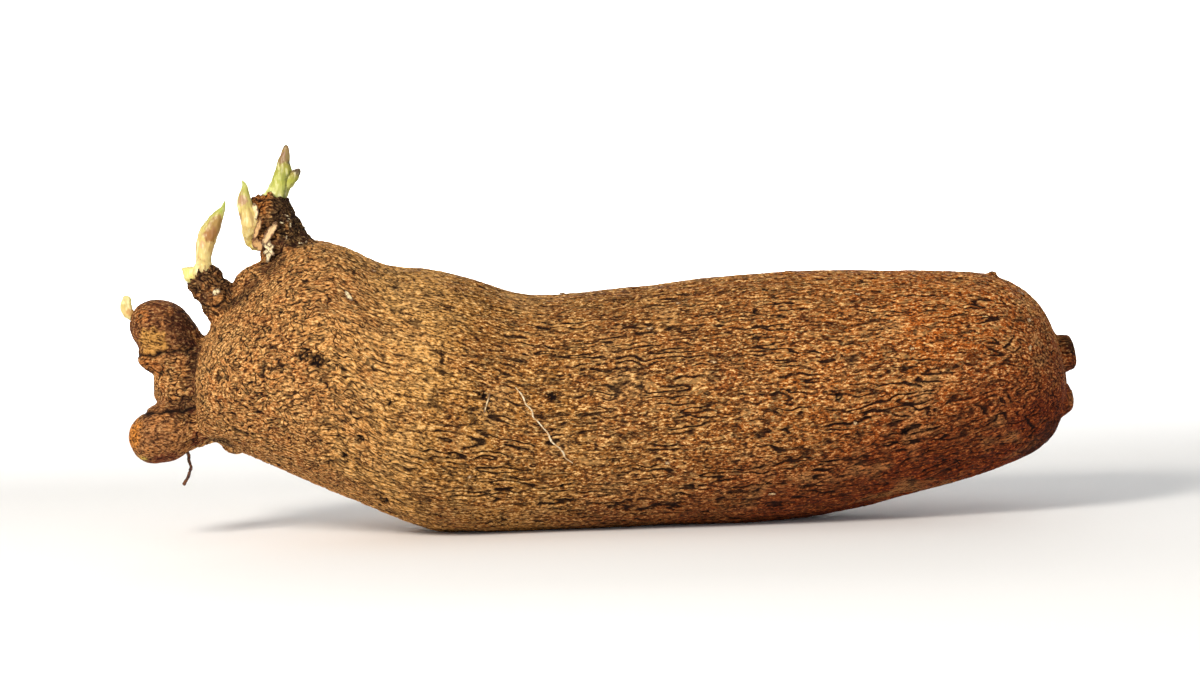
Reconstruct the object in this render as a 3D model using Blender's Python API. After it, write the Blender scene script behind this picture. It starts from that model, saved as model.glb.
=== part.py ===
"""A yam that has begun to sprout, lying on its belly with its shoots pointing up.

The tuber lies along X with its crown at -X and its tail at +X. Its crown carries rough lobes, and the
shoots, buds, papery scales and rootlets that grow from them are pieces of their own. The origin is the
middle of the underside. Sizes are in millimetres and become metres where a mesh is made.
"""

import math

import bmesh
import bpy
import numpy as np
from mathutils import Vector, noise

MM = 0.001

# ---------------------------------------------------------------- driving sizes, in millimetres

TUBER_LENGTH = 350.0  # crown end to tail end, without the lobes
TUBER_HEIGHT = 105.0  # top to bottom where the tuber is thickest
TUBER_WIDTH = 108.0  # side to side where it is widest
BELLY_FLAT = 1.3  # how deep the flat that it rests on cuts into the round underside
LUMP_HEIGHT = 0.9  # uneven growth of the tuber's surface
LUMP_SPACING = 42.0

NECK_RADIUS = 12.0
UPPER_KNOB_RADIUS = 12.0
LOWER_KNOB_RADIUS = 12.3
LEFT_STUMP_RADIUS = 6.8  # at its top, where the pointed shoot stands
RIGHT_STUMP_RADIUS = 7.8  # at its top, where the forked shoot stands
TAIL_STUMP_RADIUS = 7.4

FORKED_SHOOT_RADIUS = 4.4
FORKED_SHOOT_LENGTH = 20.0  # from the top of its stump
POINTED_SHOOT_RADIUS = 4.0
POINTED_SHOOT_LENGTH = 28.5
HOOKED_SHOOT_RADIUS = 2.9
HOOKED_SHOOT_LENGTH = 26.0  # from the side of its stump
BUD_RADIUS = 2.2
BUD_LENGTH = 8.8
SCALE_THICKNESS = 0.5
ROOTLET_RADIUS = 0.65
ROOTLET_LENGTH = 15.5
HAIR_ROOT_RADIUS = 0.32

GAP = 0.3  # between a piece and whatever it grows from
SUNK = 1.6  # how far a shoot's foot is set into the lobe that carries it

# The tuber's outline from the side, row by row from crown to tail: the share of the length, then the
# underside and the upper side as shares of the height, then the width as a share of the full width.
OUTLINE = [
    (0.000, 0.567, 0.567, 0.00),
    (0.006, 0.405, 0.719, 0.40),
    (0.017, 0.385, 0.800, 0.55),
    (0.040, 0.352, 0.905, 0.67),
    (0.071, 0.305, 1.010, 0.77),
    (0.109, 0.243, 1.100, 0.86),
    (0.143, 0.189, 1.142, 0.93),
    (0.183, 0.129, 1.106, 0.98),
    (0.223, 0.069, 1.030, 1.00),
    (0.269, 0.012, 1.017, 1.00),
    (0.326, 0.000, 0.965, 0.965),
    (0.386, 0.003, 0.896, 0.93),
    (0.471, 0.000, 0.915, 0.94),
    (0.586, 0.000, 0.941, 0.955),
    (0.700, 0.012, 0.963, 0.955),
    (0.800, 0.075, 0.953, 0.92),
    (0.880, 0.140, 0.944, 0.85),
    (0.926, 0.186, 0.906, 0.76),
    (0.957, 0.226, 0.843, 0.64),
    (0.979, 0.290, 0.738, 0.49),
    (0.991, 0.395, 0.605, 0.28),
    (0.998, 0.500, 0.500, 0.00),
]
OUTLINE_STEPS = 2  # rings per row of the outline
BODY_SIDES = 40
LOBE_SIDES = 18
SHOOT_SIDES = 14
ROOT_SIDES = 8

SKIN = ((0.27, 0.14, 0.06), 0.85)
GREEN_SHOOT = ((0.62, 0.58, 0.18), 0.5)
PALE_SHOOT = ((0.75, 0.64, 0.30), 0.5)
PAPER_SCALE = ((0.72, 0.56, 0.30), 0.7)
DARK_ROOT = ((0.10, 0.05, 0.025), 0.8)
PALE_ROOT = ((0.70, 0.60, 0.42), 0.7)


# ---------------------------------------------------------------- curves and meshes


def along_rows(rows, steps):
    """Points on a smooth line through the rows, which may have any number of columns."""
    rows = np.array(rows, float)
    padded = np.vstack([2 * rows[0] - rows[1], rows, 2 * rows[-1] - rows[-2]])
    found = []
    for i in range(len(rows) - 1):
        before, start, end, after = padded[i : i + 4]
        for t in np.arange(steps) / steps:
            found.append(
                0.5
                * (
                    2 * start
                    + (end - before) * t
                    + (2 * before - 5 * start + 4 * end - after) * t**2
                    + (3 * start - before - 3 * end + after) * t**3
                )
            )
    return np.array([*found, rows[-1]])


def mesh_of_rings(name, rings, start, end):
    """A closed mesh through rings of equal length. start and end are the points that close it."""
    bm = bmesh.new()
    loops = [[bm.verts.new(Vector(p) * MM) for p in ring] for ring in rings]
    sides = len(loops[0])
    first, last = bm.verts.new(Vector(start) * MM), bm.verts.new(Vector(end) * MM)
    for i in range(sides):
        j = (i + 1) % sides
        bm.faces.new((first, loops[0][j], loops[0][i]))
        bm.faces.new((last, loops[-1][i], loops[-1][j]))
        for near, far in zip(loops, loops[1:]):
            bm.faces.new((near[i], near[j], far[j], far[i]))
    bmesh.ops.recalc_face_normals(bm, faces=bm.faces)
    mesh = bpy.data.meshes.new(name)
    bm.to_mesh(mesh)
    bm.free()
    mesh.shade_smooth()
    return mesh


def loft(name, rows, sides, steps=3, tip=0.7, grow=0.0, flatten=1.0):
    """A round stem along rows of (x, y, z, radius): flat at its foot and rounded at its tip.

    tip is how far the end bulges, as a share of its radius. grow makes a cutter that is that much larger
    all round. flatten squeezes the stem along Y.
    """
    path = along_rows(rows, steps)
    points, radii = path[:, :3], path[:, 3] + grow
    tangents = np.gradient(points, axis=0)
    tangents /= np.linalg.norm(tangents, axis=1)[:, None]
    points[0] -= tangents[0] * grow
    rings = []
    for point, tangent, radius in zip(points, tangents, radii):
        rings.append(circle(point, tangent, radius, sides, flatten))
    bulge = tip * radii[-1]
    for turn in (math.radians(30), math.radians(60)):
        centre = points[-1] + tangents[-1] * bulge * math.sin(turn)
        rings.append(circle(centre, tangents[-1], radii[-1] * math.cos(turn), sides, flatten))
    return mesh_of_rings(name, rings, points[0], points[-1] + tangents[-1] * bulge)


def circle(centre, tangent, radius, sides, flatten):
    """Points round a path. The path stays near the XZ plane, so Y is a steady side direction."""
    across = np.array([0.0, 1.0, 0.0])
    across -= tangent * (across @ tangent)
    across /= np.linalg.norm(across)
    upward = np.cross(tangent, across)
    turns = np.arange(sides) * 2 * math.pi / sides
    return [centre + radius * (across * math.cos(a) * flatten + upward * math.sin(a)) for a in turns]


def offset_rows(start, rows):
    """Rows of (x, y, z, radius) whose places are measured from a starting point."""
    return [(start[0] + x, start[1] + y, start[2] + z, radius) for x, y, z, radius in rows]


# ---------------------------------------------------------------- objects


def material(name, look):
    colour, roughness = look
    made = bpy.data.materials.new(name)
    made.use_nodes = True
    shader = made.node_tree.nodes["Principled BSDF"]
    shader.inputs["Base Color"].default_value = (*colour, 1.0)
    shader.inputs["Roughness"].default_value = roughness
    shader.inputs["Metallic"].default_value = 0.0
    return made


def add(mesh, parent, look=None):
    """Puts a mesh in the scene. Without a look it is a helper, which a Boolean reads and no render shows."""
    made = bpy.data.objects.new(mesh.name, mesh)
    bpy.context.scene.collection.objects.link(made)
    made.parent = parent
    if look:
        mesh.materials.append(material(mesh.name, look))
    else:
        made.hide_render = True
        made.display_type = "WIRE"
    return made


def combine(target, other, operation):
    modifier = target.modifiers.new(f"{operation} {other.name}", "BOOLEAN")
    modifier.operation = operation
    modifier.object = other
    modifier.use_self = True


# ---------------------------------------------------------------- the tuber


def tuber_place(along, up, across=0.0):
    """A place in the tuber from shares of its length, height and half its width."""
    return along * TUBER_LENGTH, across * TUBER_WIDTH / 2, up * TUBER_HEIGHT


def lump(point):
    return LUMP_HEIGHT * noise.noise(Vector(point) / LUMP_SPACING)


def section_point(along, low, high, width, turn):
    """A point of the tuber's skin at an angle round one section, moved out or in by its lumps."""
    x, _, middle = tuber_place(along, (low + high) / 2)
    side, rise = width * TUBER_WIDTH / 2, (high - low) * TUBER_HEIGHT / 2
    point = (x, side * math.cos(turn), middle + rise * math.sin(turn))
    out = lump(point)
    return (x, (side + out) * math.cos(turn), middle + (rise + out) * math.sin(turn))


def tuber_mesh():
    rows = along_rows(OUTLINE, OUTLINE_STEPS)
    turns = np.arange(BODY_SIDES) * 2 * math.pi / BODY_SIDES
    rings = [[section_point(*row, turn) for turn in turns] for row in rows[1:-1]]
    ends = [tuber_place(row[0], row[1]) for row in (rows[0], rows[-1])]
    return mesh_of_rings("tuber", rings, *ends)


def flank_point(along, up, out):
    """A point that lies a little way out from the near side of the skin, at shares of length and height."""
    rows = along_rows(OUTLINE, OUTLINE_STEPS)
    low, high, width = (np.interp(along, rows[:, 0], rows[:, k]) for k in (1, 2, 3))
    sine = (2 * up - low - high) / (high - low)
    skin = section_point(along, low, high, width, math.pi + math.asin(-sine))
    slope = Vector((0.0, -1.0, sine)).normalized()
    return Vector(skin) + slope * out


# Each lobe starts inside the tuber at (share of length, share of height, share of half width), and its rows
# of (x, y, z, radius) are measured in millimetres from there.
NECK_ROOT = (0.057, 0.567, 0.0)
NECK = [
    (0.0, 0.0, 0.0, NECK_RADIUS + 4.0),
    (-14.0, 0.0, 1.5, NECK_RADIUS + 2.4),
    (-21.0, 0.0, 2.5, NECK_RADIUS + 0.6),
    (-28.0, 0.0, 4.0, NECK_RADIUS),
    (-32.0, 0.0, 4.5, NECK_RADIUS - 2.4),
]
UPPER_KNOB = [
    (-14.5, 0.5, 7.5, UPPER_KNOB_RADIUS - 4.0),
    (-23.0, 0.5, 16.8, UPPER_KNOB_RADIUS - 1.9),
    (-30.3, 0.0, 25.5, UPPER_KNOB_RADIUS - 0.2),
    (-34.2, -0.5, 28.0, UPPER_KNOB_RADIUS - 0.4),
]
KNOB_HEEL = [
    (-25.0, -1.0, 13.0, UPPER_KNOB_RADIUS * 0.70),
    (-32.0, -2.0, 14.4, UPPER_KNOB_RADIUS * 0.62),
    (-38.0, -2.8, 16.3, UPPER_KNOB_RADIUS * 0.47),
]
LOWER_KNOB = [
    (-14.5, -3.0, -9.0, LOWER_KNOB_RADIUS - 1.6),
    (-26.0, -6.0, -11.7, LOWER_KNOB_RADIUS - 0.8),
    (-32.8, -7.0, -14.6, LOWER_KNOB_RADIUS),
    (-38.2, -7.5, -17.0, LOWER_KNOB_RADIUS - 1.7),
]
LEFT_STUMP_ROOT = (0.066, 0.795, -0.05)
LEFT_STUMP = [
    (0.0, 0.0, 0.0, LEFT_STUMP_RADIUS + 4.7),
    (-10.6, -1.5, 12.5, LEFT_STUMP_RADIUS + 1.6),
    (-19.0, -2.5, 25.0, LEFT_STUMP_RADIUS),
]
RIGHT_STUMP_ROOT = (0.123, 0.985, 0.05)
RIGHT_STUMP = [
    (0.0, 0.0, 0.0, RIGHT_STUMP_RADIUS + 5.2),
    (-4.2, 0.0, 12.3, RIGHT_STUMP_RADIUS + 3.4),
    (-7.0, 0.0, 18.5, RIGHT_STUMP_RADIUS + 2.6),
    (-9.8, 0.0, 26.3, RIGHT_STUMP_RADIUS + 1.4),
    (-10.8, 0.0, 34.2, RIGHT_STUMP_RADIUS),
]
MOUND_ROOT = (0.091, 0.929, -0.06)
MOUND = [(0.0, 0.0, 0.0, 14.0), (-2.5, -0.5, 5.0, 12.8), (-4.0, -1.0, 9.0, 11.3)]
UNDER_LOBE_ROOT = (0.023, 0.440, -0.04)
UNDER_LOBE = [(0.0, 0.0, 0.0, 6.0), (-4.5, 0.0, -2.4, 5.0), (-7.6, 0.0, -4.9, 4.0)]
HEEL_LOBE_ROOT = (0.049, 0.424, 0.06)
HEEL_LOBE = [(0.0, 0.0, 0.0, 8.4), (-1.8, 0.0, -3.0, 7.4), (-2.4, 0.0, -5.6, 6.0)]
TAIL_STUMP_ROOT = (0.960, 0.567, 0.0)
TAIL_STUMP = [
    (0.0, 0.0, 0.0, TAIL_STUMP_RADIUS + 2.6),
    (9.0, 0.0, 3.4, TAIL_STUMP_RADIUS + 0.9),
    (15.0, 0.0, 4.7, TAIL_STUMP_RADIUS),
]
TOP_NUB_ROOT = (0.912, 0.875, 0.04)
TOP_NUB = [(0.0, 0.0, 0.0, 4.2), (1.8, 0.0, 4.6, 2.2)]
LOW_NUB_ROOT = (0.955, 0.430, -0.05)
LOW_NUB = [(0.0, 0.0, 0.0, 9.5), (10.0, 0.0, 0.6, 8.0), (14.0, 0.0, 1.2, 6.4)]

LOBES = [
    ("neck", NECK_ROOT, NECK, 0.5),
    ("upper_knob", NECK_ROOT, UPPER_KNOB, 1.0),
    ("knob_heel", NECK_ROOT, KNOB_HEEL, 0.8),
    ("lower_knob", NECK_ROOT, LOWER_KNOB, 0.8),
    ("left_stump", LEFT_STUMP_ROOT, LEFT_STUMP, 0.12),
    ("right_stump", RIGHT_STUMP_ROOT, RIGHT_STUMP, 0.12),
    ("mound", MOUND_ROOT, MOUND, 0.5),
    ("under_lobe", UNDER_LOBE_ROOT, UNDER_LOBE, 0.8),
    ("heel_lobe", HEEL_LOBE_ROOT, HEEL_LOBE, 0.8),
    ("tail_stump", TAIL_STUMP_ROOT, TAIL_STUMP, 0.25),
    ("top_nub", TOP_NUB_ROOT, TOP_NUB, 0.7),
    ("low_nub", LOW_NUB_ROOT, LOW_NUB, 0.5),
]


def lobe_point(root, row):
    """The middle of a lobe at one of its rows."""
    return np.array(tuber_place(*root)) + np.array(row[:3])


def add_tuber(parent):
    """The tuber with its lobes grown into it, still round underneath."""
    tuber = add(tuber_mesh(), parent, SKIN)
    for name, root, rows, tip in LOBES:
        mesh = loft(name, offset_rows(tuber_place(*root), rows), LOBE_SIDES, tip=tip)
        combine(tuber, add(mesh, parent), "UNION")
    return tuber


def cut_belly(tuber, parent):
    """Cuts the flat on which the tuber rests."""
    depth = 20.0
    bm = bmesh.new()
    bmesh.ops.create_cube(bm, size=1.0)
    bmesh.ops.scale(bm, verts=bm.verts, vec=Vector((TUBER_LENGTH, 2 * TUBER_WIDTH, depth)) * MM)
    centre = Vector((TUBER_LENGTH / 2, 0.0, BELLY_FLAT - depth / 2))
    bmesh.ops.translate(bm, verts=bm.verts, vec=centre * MM)
    mesh = bpy.data.meshes.new("belly_cutter")
    bm.to_mesh(mesh)
    bm.free()
    combine(tuber, add(mesh, parent), "DIFFERENCE")


# ---------------------------------------------------------------- what grows from it


def grow_from(host, name, stems, look, parent, sides=SHOOT_SIDES, steps=3, flatten=1.0):
    """A shoot, bud or rootlet whose foot sits in a pocket of its host, clear of it by the gap.

    It is one stem, or several grown into one.
    """
    piece = None
    for i, rows in enumerate(stems):
        pocket = loft(f"{name}_pocket_{i}", rows, sides, steps, tip=1.0, grow=GAP, flatten=flatten)
        combine(host, add(pocket, parent), "DIFFERENCE")
        if piece:
            swelling = loft(f"{name}_swelling_{i}", rows, sides, steps, tip=1.0, flatten=flatten)
            combine(piece, add(swelling, parent), "UNION")
        else:
            piece = add(loft(name, rows, sides, steps, tip=1.0, flatten=flatten), parent, look)
    return piece


def add_forked_shoot(tuber, parent):
    """The tallest shoot, with one side leaf that has opened away from it."""
    foot = lobe_point(RIGHT_STUMP_ROOT, RIGHT_STUMP[-1])
    radius, rise = FORKED_SHOOT_RADIUS, FORKED_SHOOT_LENGTH
    rows = [
        (2.2, 0.0, -SUNK, radius + 0.6),
        (3.1, 0.0, 0.02 * rise, radius + 0.2),
        (4.8, 0.0, 0.17 * rise, radius - 0.2),
        (5.7, 0.0, 0.33 * rise, radius - 0.4),
        (6.6, 0.0, 0.51 * rise, radius - 0.9),
        (6.6, 0.0, 0.66 * rise, radius - 1.8),
        (7.4, 0.0, 0.80 * rise, radius - 2.4),
        (7.8, 0.0, 0.96 * rise, radius - 3.1),
    ]
    shoot = grow_from(tuber, "forked_shoot", [offset_rows(foot, rows)], GREEN_SHOOT, parent)
    bract = [
        (radius + 1.8, -0.6, 0.18 * rise, 2.0),
        (radius + 5.2, -0.6, 0.34 * rise, 2.0),
        (radius + 7.6, -0.6, 0.47 * rise, 1.0),
    ]
    grow_from(shoot, "shoot_bract", [offset_rows(foot, bract)], GREEN_SHOOT, parent)


def add_pointed_shoot(tuber, parent):
    """A slender shoot with a swollen foot and a sharp tip."""
    foot = lobe_point(LEFT_STUMP_ROOT, LEFT_STUMP[-1])
    radius, rise = POINTED_SHOOT_RADIUS, POINTED_SHOOT_LENGTH
    swollen_foot = [
        (0.9, 0.0, -SUNK, radius + 1.6),
        (-0.4, 0.0, 0.5, radius + 2.6),
        (-1.2, 0.0, 1.9, radius + 2.0),
    ]
    rows = [
        (1.2, 0.0, -0.5, radius - 0.3),
        (1.4, 0.0, 3.0, radius - 0.2),
        (1.7, 0.0, 0.19 * rise, radius - 0.4),
        (2.4, 0.0, 0.33 * rise, radius - 0.3),
        (3.7, 0.0, 0.48 * rise, radius),
        (5.9, 0.0, 0.64 * rise, radius - 0.4),
        (7.8, 0.0, 0.75 * rise, radius - 1.3),
        (9.6, 0.0, 0.84 * rise, radius - 2.3),
        (10.6, 0.0, 0.90 * rise, radius - 3.0),
        (11.4, 0.0, 0.99 * rise, radius - 3.6),
    ]
    stems = [offset_rows(foot, rows), offset_rows(foot, swollen_foot)]
    grow_from(tuber, "pointed_shoot", stems, PALE_SHOOT, parent, steps=2)


def add_hooked_shoot(tuber, parent):
    """A pale shoot that grows from the side of the right stump and stands against it."""
    foot = lobe_point(RIGHT_STUMP_ROOT, RIGHT_STUMP[2])
    radius, rise = HOOKED_SHOOT_RADIUS, HOOKED_SHOOT_LENGTH
    rows = [
        (-4.5, -0.2, -0.15 * rise, radius - 0.4),
        (-10.2, -1.4, -0.13 * rise, radius - 0.4),
        (-12.3, -3.2, -0.01 * rise, radius - 0.7),
        (-11.7, -6.6, 0.19 * rise, radius),
        (-13.5, -5.9, 0.46 * rise, radius - 0.3),
        (-13.3, -5.6, 0.64 * rise, radius - 0.8),
        (-12.6, -5.5, 0.78 * rise, radius - 1.8),
        (-13.4, -5.5, 0.86 * rise, radius - 2.4),
    ]
    grow_from(tuber, "hooked_shoot", [offset_rows(foot, rows)], PALE_SHOOT, parent, steps=2)


def add_knob_bud(tuber, parent):
    """The small bud at the tip of the upper knob."""
    foot = lobe_point(NECK_ROOT, UPPER_KNOB[-1])
    reach = UPPER_KNOB_RADIUS - 0.4
    rows = [
        (-0.74 * reach, 0.0, 0.30 * reach, BUD_RADIUS - 0.6),
        (-0.95 * reach, 0.0, 0.30 * reach + 0.24 * BUD_LENGTH, BUD_RADIUS - 0.1),
        (-1.03 * reach, 0.0, 0.30 * reach + 0.55 * BUD_LENGTH, BUD_RADIUS),
        (-1.00 * reach, 0.0, 0.30 * reach + 0.80 * BUD_LENGTH, BUD_RADIUS - 0.5),
    ]
    grow_from(tuber, "knob_bud", [offset_rows(foot, rows)], PALE_SHOOT, parent, flatten=0.75)


# Papery scales left round the right stump: distance up the stump, turn from its near side towards the crown,
# tilt of the long side, length, width, and how far the scale stands off.
BUD_SCALES = [
    ("bud_scale_top", 31.2, 34, 85, 6.0, 2.6, 0.2),
    ("bud_scale_long", 25.3, 34, 42, 7.6, 2.2, 0.6),
    ("bud_scale_broad", 22.2, 12, 35, 8.4, 2.8, 0.2),
    ("bud_scale_outer", 20.2, 50, -30, 6.0, 3.4, 0.3),
    ("bud_scale_low", 15.8, 26, 62, 6.6, 3.0, 1.4),
]
SCALE_PARTS = 4


def stump_side(path, distance, turn, out):
    """A point at a distance up the right stump and an angle round it, a little way out from its side."""
    steps = np.linalg.norm(np.diff(path[:, :3], axis=0), axis=1)
    travelled = np.concatenate([[0.0], np.cumsum(steps)])
    x, y, z, radius = (np.interp(distance, travelled, path[:, k]) for k in range(4))
    ahead = np.array([np.interp(distance + 1.0, travelled, path[:, k]) for k in range(3)])
    axis = Vector(ahead - (x, y, z)).normalized()
    near = Vector((0.0, -1.0, 0.0))
    crownward = near.cross(axis).normalized()
    side = near * math.cos(turn) + crownward * math.sin(turn)
    return Vector((x, y, z)) + side * (radius + out)


def scale_mesh(name, distance, turn, tilt, length, width, stand_off):
    """A thin plate that follows the round side of the right stump and lifts at its upper end."""
    path = along_rows(offset_rows(tuber_place(*RIGHT_STUMP_ROOT), RIGHT_STUMP), 3)
    rise, reach = math.sin(math.radians(tilt)), math.cos(math.radians(tilt))
    loops = []
    for i in range(SCALE_PARTS + 1):
        share = i / SCALE_PARTS
        along = (share - 0.5) * length
        half = 0.5 * width * math.sqrt(max(0.12, 1 - (2 * share - 1) ** 4))
        lift = GAP + stand_off + 0.8 * share**2
        corners = [(-half, lift), (0.0, lift), (half, lift)]
        corners += [(across, out + SCALE_THICKNESS) for across, out in reversed(corners)]
        loop = []
        for across, out in corners:
            up = distance + along * rise + across * reach
            around = (across * rise - along * reach) / RIGHT_STUMP[2][3]
            loop.append(stump_side(path, up, math.radians(turn) + around, out))
        loops.append(loop)
    ends = [sum(loop, Vector()) / len(loop) for loop in (loops[0], loops[-1])]
    return mesh_of_rings(name, loops, *ends)


def add_bud_scales(parent):
    for row in BUD_SCALES:
        add(scale_mesh(*row), parent, PAPER_SCALE)


def add_rootlets(tuber, parent):
    """A short root hanging under the crown, and a hair root lying across the flank."""
    foot = lobe_point(NECK_ROOT, LOWER_KNOB[1])
    top = 0.25 * ROOTLET_LENGTH - LOWER_KNOB_RADIUS
    rows = [
        (1.4, 0.5, top, ROOTLET_RADIUS),
        (3.0, 0.4, top - 0.30 * ROOTLET_LENGTH, ROOTLET_RADIUS),
        (3.4, 0.3, top - 0.52 * ROOTLET_LENGTH, ROOTLET_RADIUS),
        (2.5, 0.5, top - 0.76 * ROOTLET_LENGTH, ROOTLET_RADIUS),
        (1.0, 0.8, top - 0.98 * ROOTLET_LENGTH, ROOTLET_RADIUS + 0.1),
    ]
    grow_from(tuber, "crown_rootlet", [offset_rows(foot, rows)], DARK_ROOT, parent, sides=ROOT_SIDES)
    out = GAP + 2 * HAIR_ROOT_RADIUS
    shares = [(0.371, 0.585), (0.384, 0.505), (0.398, 0.425), (0.413, 0.365), (0.428, 0.300)]
    rows = [(*flank_point(along, up, out), HAIR_ROOT_RADIUS) for along, up in shares]
    add(loft("hair_root", rows, ROOT_SIDES, steps=5), parent, PALE_ROOT)


# ---------------------------------------------------------------- the whole yam


def visible_corners():
    """The lowest and highest corner of everything that a render shows."""
    bpy.context.view_layer.update()
    graph = bpy.context.evaluated_depsgraph_get()
    points = []
    for obj in bpy.data.objects:
        if obj.type == "MESH" and not obj.hide_render:
            evaluated = obj.evaluated_get(graph)
            points += [evaluated.matrix_world @ v.co for v in evaluated.data.vertices]
    points = np.array(points)
    return points.min(axis=0), points.max(axis=0)


def main():
    for obj in list(bpy.data.objects):
        bpy.data.objects.remove(obj)
    yam = bpy.data.objects.new("yam", None)
    bpy.context.scene.collection.objects.link(yam)
    tuber = add_tuber(yam)
    add_forked_shoot(tuber, yam)
    add_pointed_shoot(tuber, yam)
    add_hooked_shoot(tuber, yam)
    add_knob_bud(tuber, yam)
    add_bud_scales(yam)
    add_rootlets(tuber, yam)
    cut_belly(tuber, yam)
    low, high = visible_corners()
    yam.location = (-(low[0] + high[0]) / 2, -(low[1] + high[1]) / 2, -low[2])


main()
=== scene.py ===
# %% [markdown]
# # A sprouting yam, from bark to shoots
#
# A yam is a storage tuber. Its skin is bark: thin dry cork that splits into furrows as the flesh under it
# swells. This one has begun to sprout, so its crown carries corky stumps and knobs, with green and cream
# shoots that push out between dry bud scales.
#
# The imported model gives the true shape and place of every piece, as plain solids. This lesson keeps those
# places and gives each piece the surface that the real one has. It starts by loading that model.

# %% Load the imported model
import itertools
import math

import bmesh
import bpy
import numpy as np
from mathutils import Matrix, Vector
from mathutils.bvhtree import BVHTree


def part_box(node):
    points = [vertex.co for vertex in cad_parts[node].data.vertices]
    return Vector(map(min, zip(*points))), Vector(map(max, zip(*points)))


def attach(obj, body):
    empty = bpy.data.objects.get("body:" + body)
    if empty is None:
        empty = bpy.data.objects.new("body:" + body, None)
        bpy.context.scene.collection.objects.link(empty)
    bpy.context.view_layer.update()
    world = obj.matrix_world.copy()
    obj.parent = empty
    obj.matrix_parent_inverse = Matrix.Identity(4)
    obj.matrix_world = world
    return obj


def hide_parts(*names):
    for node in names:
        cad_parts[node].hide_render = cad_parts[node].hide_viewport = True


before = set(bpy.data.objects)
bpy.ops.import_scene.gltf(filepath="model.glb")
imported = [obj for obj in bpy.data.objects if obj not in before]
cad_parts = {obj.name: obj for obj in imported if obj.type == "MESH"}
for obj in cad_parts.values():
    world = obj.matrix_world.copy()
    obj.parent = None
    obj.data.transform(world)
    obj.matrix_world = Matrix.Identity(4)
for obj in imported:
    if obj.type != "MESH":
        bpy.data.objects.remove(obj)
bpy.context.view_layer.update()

MM = 0.001
MERGE = 0.002 * MM  # corners nearer to each other than this are one
print("nodes:", ", ".join(sorted(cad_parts)))

# %% [markdown]
# ## Small helpers
#
# Blender's operators act on whatever is selected, so a helper that selects exactly one object comes first.
# Another applies a modifier as soon as it is added, because a finished piece is plain mesh. The triangles of
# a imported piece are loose, so a copy of it has their corners merged before it is shaped.


# %% Helpers for objects
def pick(obj):
    """Make obj the only selected object, and the active one."""
    bpy.ops.object.select_all(action="DESELECT")
    obj.select_set(True)
    bpy.context.view_layer.objects.active = obj
    return obj


def begin(name, primitive, **settings):
    """Add a primitive with nothing else selected, and name it."""
    bpy.ops.object.select_all(action="DESELECT")
    primitive(**settings)
    obj = bpy.context.object
    obj.name = obj.data.name = name
    return obj


def modify(obj, kind, **settings):
    """Add one modifier with its settings, and apply it."""
    modifier = pick(obj).modifiers.new(kind.title(), kind)
    for name, value in settings.items():
        setattr(modifier, name, value)
    bpy.ops.object.modifier_apply(modifier=modifier.name)
    return obj


def edit_all(obj, operator, **settings):
    """Run one of edit mode's operators on the whole mesh."""
    pick(obj)
    bpy.ops.object.mode_set(mode="EDIT")
    bpy.ops.mesh.select_all(action="SELECT")
    operator(**settings)
    bpy.ops.object.mode_set(mode="OBJECT")
    return obj


def cut_rings(obj, axis, *cuts):
    """Subdivide the edges that run along an axis, as many times as cuts has numbers."""
    pick(obj)
    bpy.ops.object.mode_set(mode="EDIT")
    for number in cuts:
        bpy.ops.mesh.select_all(action="DESELECT")
        shape = bmesh.from_edit_mesh(obj.data)
        for edge in shape.edges:
            start, end = (vertex.co[axis] for vertex in edge.verts)
            edge.select = abs(start - end) > MM / 1000
        bmesh.update_edit_mesh(obj.data)
        bpy.ops.mesh.subdivide(number_cuts=number)
    bpy.ops.object.mode_set(mode="OBJECT")


def remesh(obj, face, smoothing):
    """Give a closed mesh small even faces, face mm wide, and smooth out their steps."""
    modify(obj, "REMESH", mode="VOXEL", voxel_size=face * MM, use_smooth_shade=True)
    return modify(obj, "SMOOTH", factor=0.5, iterations=smoothing)


def copy_of(source, name):
    """A merged copy of an object, free to be shaped."""
    obj = bpy.data.objects.new(name, source.data.copy())
    bpy.context.scene.collection.objects.link(obj)
    obj.data.materials.clear()
    return edit_all(obj, bpy.ops.mesh.remove_doubles, threshold=MERGE)


def corners(obj):
    """The mesh's corners in millimetres, one row each."""
    found = np.empty(len(obj.data.vertices) * 3, np.float32)
    obj.data.vertices.foreach_get("co", found)
    return found.reshape(-1, 3).astype(float) / MM


def outward(obj):
    """The direction that the surface faces at each corner."""
    found = np.empty(len(obj.data.vertices) * 3, np.float32)
    obj.data.vertex_normals.foreach_get("vector", found)
    return found.reshape(-1, 3).astype(float)


def move_corners(obj, places):
    """Put the corners at new places, in millimetres."""
    obj.data.vertices.foreach_set("co", (places * MM).astype(np.float32).ravel())
    obj.data.update()


def note(obj, name, values):
    """Keep a number, or a row of three numbers, at each corner for the material to read."""
    values = np.asarray(values, np.float32)
    kind, field = ("FLOAT", "value") if values.ndim == 1 else ("FLOAT_VECTOR", "vector")
    layer = obj.data.attributes.new(name, kind, "POINT")
    layer.data.foreach_set(field, values.ravel())


def finish_piece(obj, material, slot, *nodes):
    """Shade a piece smooth, give it its material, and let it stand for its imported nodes."""
    obj.data.materials.clear()
    obj.data.materials.append(material)
    obj.data.shade_smooth()
    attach(obj, "root")
    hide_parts(*nodes)
    print(f"{obj.name}: {sum(len(p.vertices) - 2 for p in obj.data.polygons)} triangles")


# %% [markdown]
# ## Noise
#
# Bark, peel and shoots all look uneven in a smooth way, which is what gradient noise gives: each corner of
# an invisible grid gets a random slope, and the value between the corners blends those slopes. It is
# written with numpy here so that a whole mesh is done in one call. Its lines of zero wander like cracks, so
# `to_crack` measures how far each point is from the nearest of them.


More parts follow.
